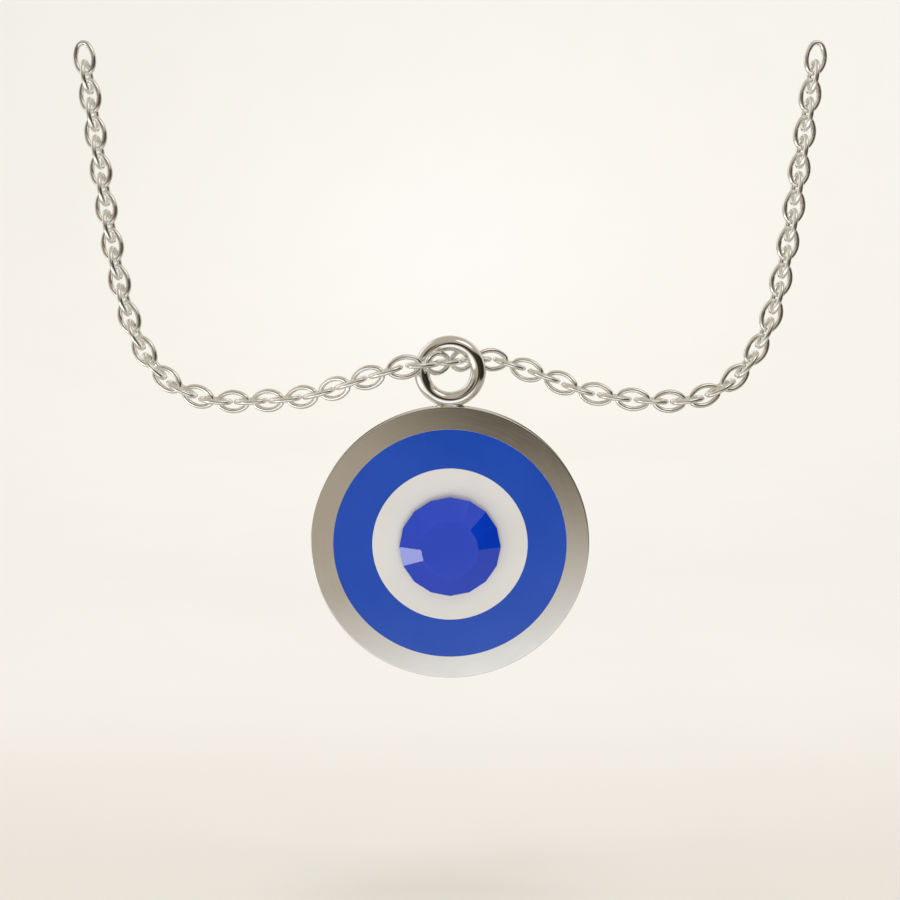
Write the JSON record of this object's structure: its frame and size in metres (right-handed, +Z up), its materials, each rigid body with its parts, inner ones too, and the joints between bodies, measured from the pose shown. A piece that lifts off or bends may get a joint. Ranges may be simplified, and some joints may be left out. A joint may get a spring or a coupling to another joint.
{
  "type": "evil eye pendant on an open length of chain",
  "caption": "Round silver pendant with a blue and white enamel eye and a faceted blue stone, hung by its ring from an open length of oval-link chain.",
  "frame": {"origin": "midway between the chain's two end links, at the height where they are held", "axes": "+Z up, front of the pendant towards -Y, +X to the right in the front view, along the span between the end links"},
  "size_m": [0.0596, 0.01, 0.0504],
  "materials": {
    "plate_silver": "polished silver with a soft brushed sheen on the flat rim",
    "blue_enamel": "smooth, flat, glossy enamel",
    "white_enamel": "smooth, flat, glossy enamel",
    "blue_stone": "polished flat facets over a backed, deep blue stone",
    "chain_silver": "polished silver"
  },
  "bodies": {
    "chain": {"chain_left": "chain_silver", "chain_right": "chain_silver"},
    "pendant": {"pendant_frame": "plate_silver", "blue_enamel": "blue_enamel", "white_enamel": "white_enamel", "blue_stone": "blue_stone"}
  },
  "joints": [
    {"name": "pendant_swing", "type": "hinge", "parent": "chain", "child": "pendant", "pos_m": [0, -0.0057, -0.02425], "axis": [0, 1, 0], "range_deg": [-22, 22]}
  ]
}
